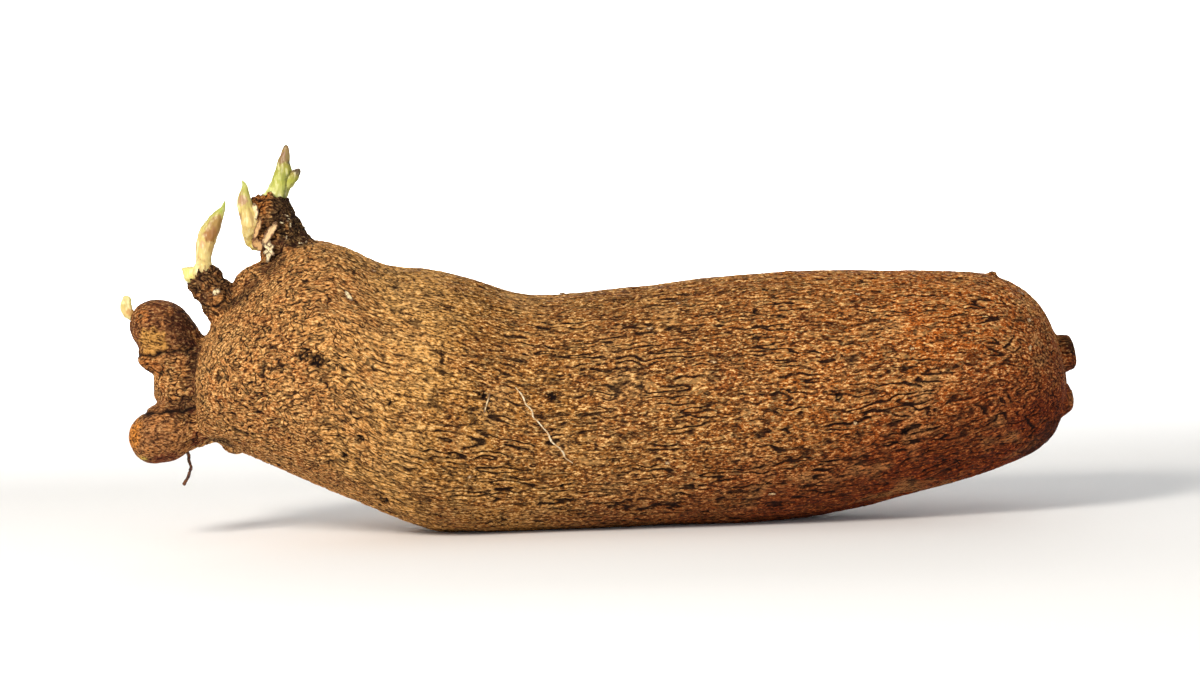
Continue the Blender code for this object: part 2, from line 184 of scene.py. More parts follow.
# %% Noise that a whole mesh can use
shuffle = np.random.default_rng(4)
TURN = shuffle.permutation(256)
SLOPES = shuffle.normal(size=(256, 3))
SLOPES /= np.linalg.norm(SLOPES, axis=1)[:, None]
NOISE_GAIN = 1.7
FAR = 3.0  # a crack further off than this, in mm, doesn't matter
CELL_LEAN = np.array([0.61, 0.37])  # rows of noise cells start at different places, so cracks don't line up


def rough(points, with_slope=False):
    """Gradient noise from about -1 to 1, whose bumps are about one unit across, and its slope."""
    cell = np.floor(points).astype(int)
    part = points - cell
    fade = part**3 * (part * (part * 6 - 15) + 10)
    total, slope = np.zeros(len(points)), np.zeros_like(points)
    for corner in itertools.product((0, 1), repeat=3):
        at = (cell + corner) & 255
        number = TURN[(TURN[(TURN[at[:, 0]] + at[:, 1]) & 255] + at[:, 2]) & 255]
        share = np.where(corner, fade, 1 - fade)
        weight = share[:, 0] * share[:, 1] * share[:, 2]
        climb = np.sum(SLOPES[number] * (part - corner), axis=1)
        total += weight * climb
        if with_slope:
            steep = 30 * part**2 * (part - 1) ** 2 * np.where(corner, 1, -1)
            slope += weight[:, None] * SLOPES[number]
            for axis in range(3):
                others = share[:, axis - 1] * share[:, axis - 2]
                slope[:, axis] += steep[:, axis] * others * climb
    return (total * NOISE_GAIN, slope * NOISE_GAIN) if with_slope else total * NOISE_GAIN


def ease(values, start, end):
    """0 below start, 1 above end, and an even slope between them that eases in and out."""
    part = np.clip((values - start) / (end - start), 0, 1)
    return part * part * (3 - 2 * part)


def wander(points, reach):
    """Three noises at once, as a push to each point that bends straight lines."""
    return reach * np.stack([rough(points + 37.3 * k) for k in (1, 2, 3)], axis=1)


def to_crack(points, spacing, bend):
    """How far each point is from the nearest crack in mm: below 0 on one side of it, above 0 on the other.

    The cracks are the lines where noise passes through zero. Dividing by the noise's slope turns its value
    into a distance, so that every crack is equally wide, whichever way it runs.
    """
    cells = points / spacing + bend
    cells[:, 0] += cells[:, 1:] @ CELL_LEAN
    value, slope = rough(cells, with_slope=True)
    slope[:, 1:] += np.outer(slope[:, 0], CELL_LEAN)
    return np.clip(value / np.maximum(np.linalg.norm(slope / spacing, axis=1), 0.02), -FAR, FAR)


# %% [markdown]
# ## Grain coordinates
#
# A yam's furrows run lengthwise and bend with the tuber. So each point of the skin gets grain coordinates:
# how far along the tuber it is, and how far across and above its middle line. That line is measured on a
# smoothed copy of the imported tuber, halfway between its top and its underside at a few stations.

# %% The middle line of the tuber
smooth_tuber = copy_of(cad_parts["tuber"], "smooth_tuber")
modify(smooth_tuber, "SUBSURF", levels=1, render_levels=1)
modify(smooth_tuber, "SMOOTH", factor=0.5, iterations=6)
SURFACE = BVHTree.FromObject(smooth_tuber, bpy.context.evaluated_depsgraph_get())

CROWN_STATION, TAIL_STATION, STATION_REACH = -104.0, 150.0, 5.0
stations = np.linspace(CROWN_STATION, TAIL_STATION, 14)
skin_points = corners(smooth_tuber)
middles = []
for station in stations:
    near = skin_points[np.abs(skin_points[:, 0] - station) < STATION_REACH]
    middles.append((near[:, 2].min() + near[:, 2].max()) / 2)
print("middle line heights in mm:", [round(z, 1) for z in middles])


def middle_height(x):
    """The height of the middle line at x, in mm."""
    return np.interp(x, stations, middles)


def grain_of(places):
    """The grain coordinates of each place, in mm."""
    return np.stack([places[:, 0], places[:, 1], places[:, 2] - middle_height(places[:, 0])], axis=1)


# %% [markdown]
# ## Places on the crown
#
# The crown's lobes aren't pieces of their own, but what grows on them is. So each lobe is found from a
# piece that grows there: the stumps from their shoots, the upper knob from its bud, and the lower knob
# from its rootlet. Other places on the skin are found by a ray that meets it.


# %% Where the lobes are
def box_of(node):
    """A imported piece's lowest corner, middle and highest corner, in mm."""
    start, end = (np.array(corner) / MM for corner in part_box(node))
    return start, (start + end) / 2, end


def foot_of(node, x, z):
    """A point on the lobe under a shoot: x and z from its box's low corner, and its middle across."""
    start, centre, _ = box_of(node)
    return np.array([start[0] + x, centre[1], start[2] + z])


LEFT_TOP = foot_of("pointed_shoot", 6.7, 4.5)
RIGHT_TOP = foot_of("forked_shoot", 1.9, 3.5)
LEFT_STUMP = (LEFT_TOP, LEFT_TOP + (19.0, 2.5, -25.0))
RIGHT_STUMP = (RIGHT_TOP, RIGHT_TOP + (10.8, 0.0, -34.2))
UPPER_KNOB = foot_of("knob_bud", 15.9, -3.8)
LOWER_KNOB = foot_of("crown_rootlet", -8.6, 21.0) + (0.0, -1.8, 0.0)
NECK = UPPER_KNOB + (4.0, 0.0, -22.0)
TAIL = skin_points[skin_points[:, 0].argmax()] - (3.0, 0.0, 0.0)  # the stump at the tail's end
KNOB_REACH, STUMP_REACH = 16.0, 14.0
WELL_IN_FRONT = -200.0


def front_at(x, z):
    """The point of the skin that faces the viewer at x and z, in mm."""
    return np.array(SURFACE.ray_cast(Vector((x, WELL_IN_FRONT, z)) * MM, Vector((0, 1, 0)))[0]) / MM


def skin_at(x, turn):
    """The point of the skin at x, at an angle round the middle line, in mm."""
    way = Vector((0, math.cos(turn), math.sin(turn)))
    return np.array(SURFACE.ray_cast(Vector((x, 0, middle_height(x))) * MM, way)[0]) / MM


def on_stump(stump, share, offset=(0, 0, 0)):
    """A point on a stump's axis, a share of the way from its top to its foot."""
    top, foot = stump
    return top + (foot - top) * share + offset


print("tail:", TAIL.round(1))
print("lobes:", LEFT_TOP.round(1), RIGHT_TOP.round(1), UPPER_KNOB.round(1), LOWER_KNOB.round(1))

# %% [markdown]
# ## Dabs of colour
#
# The crown isn't one colour. Cork on the knobs is tight and dark, the stumps are nearly black where old
# shoots have died back, and fresh bark shows orange. Such patches are painted with soft dabs. A few dabs
# are painted shade instead: down the crevice beside the neck, and over the lower end of the tail. A dab is a
# ball in space: what lies in it takes its colour, and noise frays its edge. The dabs lie over whatever tone
# the bark has, so they are kept as the colour that they add and the share of that tone that they leave.


# %% The dabs
def linear(code):
    """A colour written as sRGB hex, as the linear colour that Blender's sockets take."""
    parts = [int(code[i : i + 2], 16) / 255 for i in (0, 2, 4)]
    return (*[p / 12.92 if p <= 0.04045 else ((p + 0.055) / 1.055) ** 2.4 for p in parts], 1.0)


DAB_CORE = 0.62  # the share of a dab's radius that has its full strength
DABS = [  # middle, radius in mm, colour and strength
    (UPPER_KNOB, 19, "5E2C1C", 0.80),
    (UPPER_KNOB + (7, -6, 0), 11, "3C1A14", 0.75),
    (UPPER_KNOB + (-3, -10, -4), 11, "8A5630", 0.70),
    (UPPER_KNOB + (-4, -12, -6), 8.5, "D49A4C", 0.88),
    (UPPER_KNOB + (-7, -9, 6.5), 3.9, "C07438", 0.85),
    (UPPER_KNOB + (-7.5, -9.5, 6.5), 2.3, "2A0E06", 0.95),
    (UPPER_KNOB + (-6, -9, -15), 7, "B5682F", 0.75),
    (LOWER_KNOB, 18, "93603A", 0.82),
    (LOWER_KNOB + (-12, -5, 1), 8, "DE8A36", 0.88),
    (LOWER_KNOB + (2, -5, -12), 8, "6E2816", 0.80),
    (LOWER_KNOB + (-8, -6, -11), 4, "E9C95E", 0.75),
    (LOWER_KNOB + (9, -6, 10), 7, "3A1810", 0.70),
    # Painted shade: dark red-brown down the crevice beside the neck.
    (NECK + (11, -11, 11), 6, "431812", 0.75),
    (NECK + (10, -12, 2), 6, "4C1C14", 0.75),
    (NECK + (9, -12, -7), 6, "431812", 0.70),
    (LOWER_KNOB + (20, -8, -8), 9, "33190F", 0.70),
    (on_stump(LEFT_STUMP, 0.05), 12, "38201A", 0.85),
    (on_stump(LEFT_STUMP, 0.35), 12, "42261A", 0.80),
    (on_stump(LEFT_STUMP, 0.55, (4, -8, 0)), 5, "140A08", 0.80),
    (on_stump(LEFT_STUMP, 0.80, (9, -10, 4)), 8, "2A140E", 0.75),
    (on_stump(RIGHT_STUMP, 0.00), 14, "4A2415", 0.85),
    (on_stump(RIGHT_STUMP, 0.35), 15, "3A1C12", 0.80),
    (on_stump(RIGHT_STUMP, 0.05, (-4, -7, 0)), 7, "B0672A", 0.85),
    (on_stump(RIGHT_STUMP, 0.20, (7, -5, 0)), 10, "1C0E0C", 0.92),
    (on_stump(RIGHT_STUMP, 0.45, (7, -6, 0)), 10, "170B0A", 0.92),
    (on_stump(RIGHT_STUMP, 0.62, (-5, -9, 0)), 7, "3A1410", 0.80),
    (on_stump(RIGHT_STUMP, 0.85, (-6, -12, 0)), 9, "4A2A1C", 0.60),
    (front_at(-138.0, 101.0), 7, "3A1C12", 0.70),
    (front_at(-128.2, 108.5), 8, "4A2818", 0.65),
    (front_at(-142.0, 96.5), 5, "33140F", 0.75),
    (front_at(-161.5, 77.0), 4.5, "3A120E", 0.80),
    (front_at(-161.0, 68.5), 5.0, "34100C", 0.85),
    (front_at(-160.5, 60.0), 4.5, "3A120E", 0.80),
    (front_at(-151.6, 39.5), 7, "2A140C", 0.80),
    (front_at(-160.5, 41.5), 4.5, "6A2012", 0.75),
    (TAIL + (0, -2, 6), 6.5, "160A08", 0.85),
    (TAIL + (3, -3, -3), 6.5, "56190C", 0.75),
    # Painted shade: near black over the lower end of the tail.
    (TAIL + (-7, -14, -36), 20, "1E0805", 0.80),
]
print(len(DABS), "dabs of colour")


def paint_dabs(obj, places, dabs, grit=1.4):
    """Keep the colour that the dabs add at each corner, and the share of its own tone that they leave."""
    added, left = np.zeros((len(places), 3)), np.ones(len(places))
    fray = 0.28 * rough(places / (2.5 * grit)) + 0.22 * rough(places / grit + 7.0)
    for middle, radius, code, strength in dabs:
        away = np.linalg.norm(places - middle, axis=1) / radius + fray
        weight = strength * ease(-away, -1.0, -DAB_CORE)
        added = added * (1 - weight)[:, None] + weight[:, None] * linear(code)[:3]
        left = left * (1 - weight)
    note(obj, "dab_colour", added)
    note(obj, "own_tone", left)


# %% [markdown]
# ## Bark relief
#
# Three kinds of crack make this bark. Long furrows run with the grain, about 3 mm apart, with short splits
# about a millimetre apart between them. Around the crown the cork has torn in every direction. The relief is
# in the mesh, since it is deep enough to catch light and shadow. What is finer is left to the material.

# %% Sizes of the bark's relief
LONG_FURROW = np.array([26.0, 2.9, 2.9])  # length, and spacing both ways across, in mm
SHORT_SPLIT = np.array([3.4, 1.15, 1.15])
TORN_CORK = np.array([4.0, 2.6, 2.6])
FURROW_WIDTH, SPLIT_WIDTH, TEAR_WIDTH = 0.50, 0.28, 0.34
FURROW_DEPTH, SPLIT_DEPTH, TEAR_DEPTH = 0.95, 0.26, 0.50
SWELL_HEIGHT, SWELL_SPACING = 0.45, np.array([22.0, 9.0, 9.0])
TORN_FROM, TORN_TO = -45.0, -115.0  # where along X the cork begins to tear, and where it has torn fully
PIT_COUNT, PIT_SPAN, PIT_RADII, PIT_DEPTH = 46, (-120, 172), (0.7, 1.7), 0.9
KNOB_CRACK_REACH, KNOB_CRACK_WIDTH = 15.0, 0.8
LOWEST = 0.02  # no corner comes nearer to the floor than this, in mm


def groove(distance, width):
    """1 in the middle of a crack, falling away to 0 past its width."""
    return np.exp(-((distance / width) ** 2))


def ball(places, middle, radius):
    """1 inside a ball and 0 outside it, with a soft edge."""
    return ease(-np.linalg.norm(places - middle, axis=1), -radius, -0.8 * radius)


def stump_share(places):
    """1 on the two stumps, which are rougher than the rest."""
    spots = [on_stump(LEFT_STUMP, k) for k in (0, 0.3)]
    spots += [on_stump(RIGHT_STUMP, k) for k in (0, 0.3, 0.5)]
    return np.max([ball(places, spot, STUMP_REACH) for spot in spots], axis=0)


# %% Pits, and the cracks that cross the knobs
dots = np.random.default_rng(11)
PITS = []
for _ in range(PIT_COUNT):
    place = skin_at(dots.uniform(*PIT_SPAN), dots.uniform(0, 2 * math.pi))
    PITS.append((place, dots.uniform(*PIT_RADII)))
for x, z, radius in ((-88.0, 16.0, 3.0), (-115.0, 76.0, 2.6), (-110.0, 73.5, 2.4), (-46.0, 58.5, 1.6)):
    PITS.append((front_at(x, z), radius))
KNOB_CRACKS = [UPPER_KNOB + (0, -4, -9.0), LOWER_KNOB + (3, -4, 10.0)]
print(len(PITS), "pits in the bark")


# %% How high the bark stands at each corner
def add_bark(obj, tuck=0.0):
    """Raise the bark on a piece of the skin. tuck sinks its edge, where a neighbour covers it."""
    places, facing = corners(obj), outward(obj)
    grain = grain_of(places)
    tight = np.maximum(ball(places, UPPER_KNOB, KNOB_REACH), ball(places, LOWER_KNOB, KNOB_REACH))
    dense = 0.65 + 0.35 * ease(rough(grain / (24.0, 14.0, 14.0) + 4.4), -0.35, 0.25)
    stump = stump_share(places)
    torn = ease(-grain[:, 0] + 30 * rough(grain / 30.0), -TORN_FROM, -TORN_TO)
    push = wander(grain / 6.0, 1.0)
    furrow = to_crack(grain, LONG_FURROW, push * (0.05, 0.34, 0.34))
    split = to_crack(grain, SHORT_SPLIT, push * (0.2, 0.5, 0.5) + 5.2)
    tear = to_crack(grain, TORN_CORK, push * 1.1 + 8.4)
    broken = ease(rough(grain / (10.0, 3.2, 3.2) + 9.1), -0.38, 0.05)
    furrow_there = broken * dense * (1 - 0.6 * torn) * (1 - tight)
    split_there = 0.8 * ease(rough(grain / 4.0 + 5.5), -0.15, 0.25) * (1 - 0.6 * tight)
    tear_there = ease(rough(grain / 4.5 + 3.3), -0.45, 0.0) * (0.15 + 0.85 * torn) * (1 - 0.55 * tight)
    swell = rough(grain / SWELL_SPACING + 1.7) + 0.30 * rough(grain / 3.4 + 8.8) * (0.4 + torn)
    height = SWELL_HEIGHT * swell * (1 - 0.5 * tight)
    height += stump * (0.9 * rough(places / (3.0, 3.0, 5.0)) + 0.5 * rough(places / 1.6))
    height -= FURROW_DEPTH * furrow_there * groove(furrow, FURROW_WIDTH)
    height -= SPLIT_DEPTH * split_there * groove(split, SPLIT_WIDTH)
    height -= TEAR_DEPTH * tear_there * groove(tear, TEAR_WIDTH)
    pit = np.zeros(len(places))
    for middle, radius in PITS:
        pit = np.maximum(pit, ball(places, middle, 1.25 * radius))
    pit *= ease(rough(places / 1.1) + 0.4, 0.0, 0.4)
    for middle in KNOB_CRACKS:
        above = (places - middle) @ (-0.10, 0.0, 1.0) + 1.3 * rough(places / 4.0)
        pit = np.maximum(pit, ball(places, middle, KNOB_CRACK_REACH) * groove(above, KNOB_CRACK_WIDTH))
    height -= PIT_DEPTH * pit
    note(obj, "grain", grain)
    note(obj, "crack_distance", np.stack([furrow, split, tear], axis=1))
    note(obj, "crack_there", np.stack([furrow_there, split_there, tear_there], axis=1))
    note(obj, "marks", np.stack([pit, tight, stump], axis=1))
    paint_dabs(obj, places, DABS)
    places += facing * (height - tuck)[:, None]
    places[:, 2] = np.maximum(places[:, 2], LOWEST)
    move_corners(obj, places)


# %% [markdown]
# ## The tuber's body
#
# The skin needs fine rings along the tuber, so that the furrows are crisp, and a cylinder gets them when its
# lengthwise edges are subdivided. Each corner is then sent out from the middle line until it meets the
# packed tuber, which pulls the cylinder on like a sock. At the tail the rays fan out, so the rings close
# over its round end. A piece of mesh keeps its fine detail only up to a size, so the skin is four pieces:
# the crown, the shoulder, the middle and the tail. Each is closed, and where two meet, both edges are
# tucked in a little and pass each other.

# %% The body, wrapped on by rays
AROUND, RINGS = 600, 160  # meridians and rings of each sleeve, for faces about half a millimetre wide
CROWN_SEAM, SHOULDER_SEAM, MIDDLE_SEAM = -104.0, -18.0, 66.0
TAIL_TURN, TAIL_REACH = 150.0, 72.0  # where the rays begin to fan out, and the mm of rings in the fan
FAN_END = 0.996  # the fan stops just short of a right angle, at the tip
OVERLAP, TUCK = 3.0, 0.8


def sleeve(name, start, end, round_tail=False):
    """A closed skin from start to end along X. With round_tail, its rays fan out over the tail."""
    obj = begin(
        name, bpy.ops.mesh.primitive_cylinder_add, vertices=AROUND, radius=MM, depth=2 * MM,
        end_fill_type="TRIFAN", rotation=(0, math.pi / 2, 0),
    )
    bpy.ops.object.transform_apply(rotation=True)
    cut_rings(obj, 0, RINGS // 2, 1)  # in two steps, because one call makes at most 100 cuts

    straight = (TAIL_TURN if round_tail else end) - start
    travel = straight + (TAIL_REACH if round_tail else 0)
    unit = corners(obj)
    reach = (unit[:, 0] + 1) / 2 * travel
    along = start + np.minimum(reach, straight)
    turns = np.clip((reach - straight) / TAIL_REACH, 0, FAN_END) * round_tail * math.pi / 2
    centres = np.stack([along, np.zeros_like(along), middle_height(along)], axis=1) * MM
    places = []
    for (x, y, z), turn, centre in zip(unit, turns, centres):
        on_axis = math.hypot(y, z) < 0.5
        if on_axis and not (round_tail and x > 0):
            places.append(Vector(centre))
            continue
        way = (1, 0, 0) if on_axis else (math.sin(turn), y * math.cos(turn), z * math.cos(turn))
        places.append(SURFACE.ray_cast(Vector(centre), Vector(way))[0])
    move_corners(obj, np.array(places) / MM)
    return obj


def tuck_at(obj, *seams):
    """How far each corner sinks at the seams. Each seam is a place along X and the side it sinks on."""
    x = corners(obj)[:, 0]
    return sum(TUCK * ease((x - seam) * side, 0.3, OVERLAP) for seam, side in seams)


shoulder = sleeve("tuber_shoulder", CROWN_SEAM - OVERLAP, SHOULDER_SEAM + OVERLAP)
add_bark(shoulder, tuck_at(shoulder, (CROWN_SEAM, -1), (SHOULDER_SEAM, 1)))
middle = sleeve("tuber_middle", SHOULDER_SEAM - OVERLAP, MIDDLE_SEAM + OVERLAP)
add_bark(middle, tuck_at(middle, (SHOULDER_SEAM, -1), (MIDDLE_SEAM, 1)))
tail = sleeve("tuber_tail", MIDDLE_SEAM - OVERLAP, 0, round_tail=True)
add_bark(tail, tuck_at(tail, (MIDDLE_SEAM, -1)))

# %% [markdown]
# ## The crown
#
# The crown forks into stumps, a neck and two knobs, which no sphere can wrap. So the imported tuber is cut
# there and remeshed into small even faces, which follow any shape. The same bark is raised on it, so the
# pattern runs on across the seam.

# %% The crown, cut and remeshed
CROWN_FACE = 0.70  # size of the crown's faces in mm

crown = copy_of(smooth_tuber, "tuber_crown")
edit_all(
    crown, bpy.ops.mesh.bisect, plane_co=((CROWN_SEAM + OVERLAP) * MM, 0, 0), plane_no=(1, 0, 0),
    use_fill=True, clear_outer=True, threshold=1e-7,
)
remesh(crown, CROWN_FACE, 8)
add_bark(crown, tuck_at(crown, (CROWN_SEAM, 1)))

# %% [markdown]
# ## Bark material
#
# Yam bark is cork: dull, dry and matt, with a grey-brown to orange-brown outside. Dirt and shade collect in
# its cracks, which are nearly black, and the edges of its scales are worn to pale flecks. The material
# reads the numbers that the relief left at each corner, so its dark lines lie in the cracks of the mesh.


# %% One function adds any node
MATHS, VECTORS, MIX = "ShaderNodeMath", "ShaderNodeVectorMath", "ShaderNodeMix"
RANGE, RAMP, NOISE = "ShaderNodeMapRange", "ShaderNodeValToRGB", "ShaderNodeTexNoise"
NOTED, SPLIT, BUMP = "ShaderNodeAttribute", "ShaderNodeSeparateXYZ", "ShaderNodeBump"
COORDINATES = "ShaderNodeTexCoord"
FACTOR, UNDER, OVER, MIXED = 0, 6, 7, 2  # sockets of a Mix node that mixes colours
EASED = {"interpolation_type": "SMOOTHSTEP"}  # a Map Range whose ends are rounded


def add_node(tree, kind, inputs, output=0, **settings):
    """Add a node and return one of its outputs. An input is a socket, a hex colour or a plain value."""
    made = tree.nodes.new(kind)
    for name, value in settings.items():
        setattr(made, name, value)
    for place, value in inputs.items():
        if isinstance(value, bpy.types.NodeSocket):
            tree.links.new(made.inputs[place], value)
        else:
            made.inputs[place].default_value = linear(value) if isinstance(value, str) else value
    return made.outputs[output]


def set_stops(ramp_socket, *stops):
    """Give a colour ramp its (place, hex) stops."""
    ramp = ramp_socket.node.color_ramp
    while len(ramp.elements) < len(stops):
        ramp.elements.new(0.5)
    for element, (place, code) in zip(ramp.elements, stops):
        element.position, element.color = place, linear(code)


def new_material(name, roughness, specular=0.5):
    """A material with its node tree and its shader."""
    material = bpy.data.materials.new(name)
    material.use_nodes = True
    shader = material.node_tree.nodes["Principled BSDF"]
    shader.inputs["Roughness"].default_value = roughness
    shader.inputs["Specular IOR Level"].default_value = specular
    return material, material.node_tree, shader


def under_dabs(tree, tone):
    """Lay the dabs over a tone: the tone is dimmed where they are, and their colour is added."""
    left = add_node(tree, NOTED, {}, "Fac", attribute_name="own_tone")
    added = add_node(tree, NOTED, {}, "Vector", attribute_name="dab_colour")
    shown = add_node(tree, VECTORS, {0: tone, 1: left}, operation="MULTIPLY")
    return add_node(tree, VECTORS, {0: shown, 1: added}, operation="ADD")


# %% [markdown]
# ### The tone along the tuber
#
# The bark is tan near the crown and red-brown at the tail. A ramp along X gives that tone, and wide noise
# bends its bands. Towards the underside of the tail's end, painted shade darkens it to nearly maroon.


# %% The main tone of the bark
def bark_tone(tree, grain):
    """The colour along the tuber, with painted shade under the tail's end, and how far into that painted
    shade each point is.
    """
    x, _, z = add_node(tree, SPLIT, {0: grain}).node.outputs
    wide = add_node(tree, NOISE, {"Vector": grain, "Scale": 1 / 26.0, "Detail": 3.0})
    shift = add_node(tree, MATHS, {0: wide, 1: 90.0, 2: -45.0}, operation="MULTIPLY_ADD")
    band = add_node(tree, MATHS, {0: x, 1: shift}, operation="ADD")
    place = add_node(tree, MATHS, {0: band, 1: 1 / 380.0, 2: 0.5}, operation="MULTIPLY_ADD")
    tone = add_node(tree, RAMP, {0: place})
    set_stops(
        tone, (0.00, "B8763E"), (0.20, "C07E42"), (0.29, "DA9F55"), (0.37, "A8702F"),
        (0.50, "985E27"), (0.70, "A65E21"), (0.85, "B55E1A"), (1.00, "AE5416"),
    )
    # Painted shade: towards the underside of the tail's end, the tone is darkened to nearly maroon.
    drop = add_node(tree, MATHS, {0: wide, 1: 40.0, 2: -20.0}, operation="MULTIPLY_ADD")
    lean = add_node(tree, MATHS, {0: x, 1: 0.30, 2: drop}, operation="MULTIPLY_ADD")
    under_shade_line = add_node(tree, MATHS, {0: lean, 1: z}, operation="SUBTRACT")
    painted_underside_shade = add_node(tree, RANGE, {0: under_shade_line, 1: 20.0, 2: 74.0}, **EASED)
    shade_strength = add_node(tree, MATHS, {0: painted_underside_shade, 1: 0.92}, operation="MULTIPLY")
    tone = add_node(tree, MIX, {FACTOR: shade_strength, UNDER: tone, OVER: "641A06"}, MIXED, data_type="RGBA")
    for spacing, detail, start, end, strength, code in (
        (11.0, 3.0, 0.42, 0.68, 0.45, "854018"),
        (17.0, 2.0, 0.55, 0.72, 0.40, "D8A566"),
    ):
        cloud = add_node(tree, NOISE, {"Vector": grain, "Scale": 1 / spacing, "Detail": detail})
        cloud = add_node(tree, RANGE, {0: cloud, 1: start, 2: end, 4: strength}, **EASED)
        tone = add_node(tree, MIX, {FACTOR: cloud, UNDER: tone, OVER: code}, MIXED, data_type="RGBA")
    return tone, painted_underside_shade


# %% [markdown]
# ### Grit, flecks and cracks
#
# Over the tone lie dark grit and pale flecks, then the cracks with their worn rims. Under a dab, and on the
# tight cork of the knobs, flecks and rims are held back.

# %% The bark
CRACKS = ((2, 0.36, 0.92), (1, 0.28, 0.80), (0, 0.48, 0.95))  # kind of crack, width in mm, darkness
RIM_STRENGTH = 0.30


def make_bark():
    """Dry cork, read from the numbers that add_bark keeps at each corner."""
    material, tree, shader = new_material("yam_bark_dry_cork", 0.85, 0.12)
    grain, away, there, marks = (
        add_node(tree, NOTED, {}, "Vector", attribute_name=name)
        for name in ("grain", "crack_distance", "crack_there", "marks")
    )
    away = add_node(tree, VECTORS, {0: away}, operation="ABSOLUTE")
    away, there, marks = (add_node(tree, SPLIT, {0: rows}).node.outputs for rows in (away, there, marks))
    pit, tight, stump = marks
    tone, painted_underside_shade = bark_tone(tree, grain)
    tone = under_dabs(tree, tone)

    # Grit and flecks, stretched along the grain and drawn as coarse as they need to show.
    stretched = add_node(tree, VECTORS, {0: grain, 1: (0.45, 1.0, 1.0)}, operation="MULTIPLY")
    grit = add_node(tree, NOISE, {"Vector": stretched, "Scale": 1 / 0.85, "Detail": 3.0, "Roughness": 0.65})
    fine = add_node(tree, NOISE, {"Vector": stretched, "Scale": 1 / 0.45, "Detail": 2.0, "Roughness": 0.6})
    rise = add_node(tree, MATHS, {0: fine, 1: 0.5, 2: grit}, operation="MULTIPLY_ADD")
    dark = add_node(tree, RANGE, {0: grit, 1: 0.40, 2: 0.54, 3: 0.92, 4: 0.0}, **EASED)
    smooth = add_node(tree, MATHS, {0: tight, 1: stump}, operation="MAXIMUM")
    calm = add_node(tree, MATHS, {0: smooth, 1: -0.6, 2: 1.0}, operation="MULTIPLY_ADD")
    left = add_node(tree, NOTED, {}, "Fac", attribute_name="own_tone")
    bare = add_node(tree, MATHS, {0: left, 1: 0.75, 2: 0.25}, operation="MULTIPLY_ADD")
    calm = add_node(tree, MATHS, {0: calm, 1: bare}, operation="MINIMUM")
    fleck = add_node(tree, RANGE, {0: rise, 1: 0.80, 2: 0.92, 4: 0.90}, **EASED)
    fleck = add_node(tree, MATHS, {0: fleck, 1: calm}, operation="MULTIPLY")
    # Pale flecks and worn rims where lit, and darker painted-shade copies of both under the tail's end.
    pale = add_node(tree, MIX, {FACTOR: painted_underside_shade, UNDER: "FFCF88", OVER: "C0662C"}, MIXED, data_type="RGBA")
    rim_wear_and_shade = add_node(tree, MIX, {FACTOR: painted_underside_shade, UNDER: "EDB870", OVER: "8A4420"}, MIXED, data_type="RGBA")
    colour = add_node(tree, MIX, {FACTOR: dark, UNDER: tone, OVER: "280F05"}, MIXED, data_type="RGBA")
    colour = add_node(tree, MIX, {FACTOR: fleck, UNDER: colour, OVER: pale}, MIXED, data_type="RGBA")

    # Each crack is nearly black, dirt with painted shade, and both its edges are worn pale.
    for number, width, darkness in CRACKS:
        inner = add_node(tree, RANGE, {0: away[number], 1: width, 2: width + 0.2, 4: RIM_STRENGTH}, **EASED)
        outer = {0: away[number], 1: width + 0.3, 2: width + 0.9, 4: RIM_STRENGTH}
        outer = add_node(tree, RANGE, outer, **EASED)
        rim = add_node(tree, MATHS, {0: inner, 1: outer}, operation="SUBTRACT")
        for share in (there[number], calm):
            rim = add_node(tree, MATHS, {0: rim, 1: share}, operation="MULTIPLY")
        colour = add_node(tree, MIX, {FACTOR: rim, UNDER: colour, OVER: rim_wear_and_shade}, MIXED, data_type="RGBA")
        line = {0: away[number], 1: width * 0.35, 2: width, 3: darkness, 4: 0.0}
        line = add_node(tree, RANGE, line, **EASED)
        line = add_node(tree, MATHS, {0: line, 1: there[number]}, operation="MULTIPLY")
        colour = add_node(tree, MIX, {FACTOR: line, UNDER: colour, OVER: "160704"}, MIXED, data_type="RGBA")
    colour = add_node(tree, MIX, {FACTOR: pit, UNDER: colour, OVER: "120604"}, MIXED, data_type="RGBA")
    tree.links.new(shader.inputs["Base Color"], colour)
    bump = add_node(tree, BUMP, {"Height": rise, "Strength": 1.0, "Distance": 0.5 * MM})
    tree.links.new(shader.inputs["Normal"], bump)
    return material


BARK = make_bark()
for piece in (crown, shoulder, middle, tail):
    finish_piece(piece, BARK, "skin", "tuber")

# %% [markdown]
# ## Husks round the stumps
#
# Where a shoot leaves its stump, the dead bark of the stump stands up round it as a ragged husk. A husk is
# thin, so it is a sleeve with an open top: a cylinder's side, pulled onto the stump by rays from the
# stump's axis, with its rim raised unevenly, given the same bark, and thickened at the end.

# %% The husks
HUSK_SIDES, HUSK_RINGS, HUSK_WALL = 150, 40, 0.5
HUSK_SHOULDER, HUSK_TAPER = 2.5, 0.35  # how far under the stump's top it narrows, and how much
WIDEST = 14.0  # the largest radius of a husk, in mm


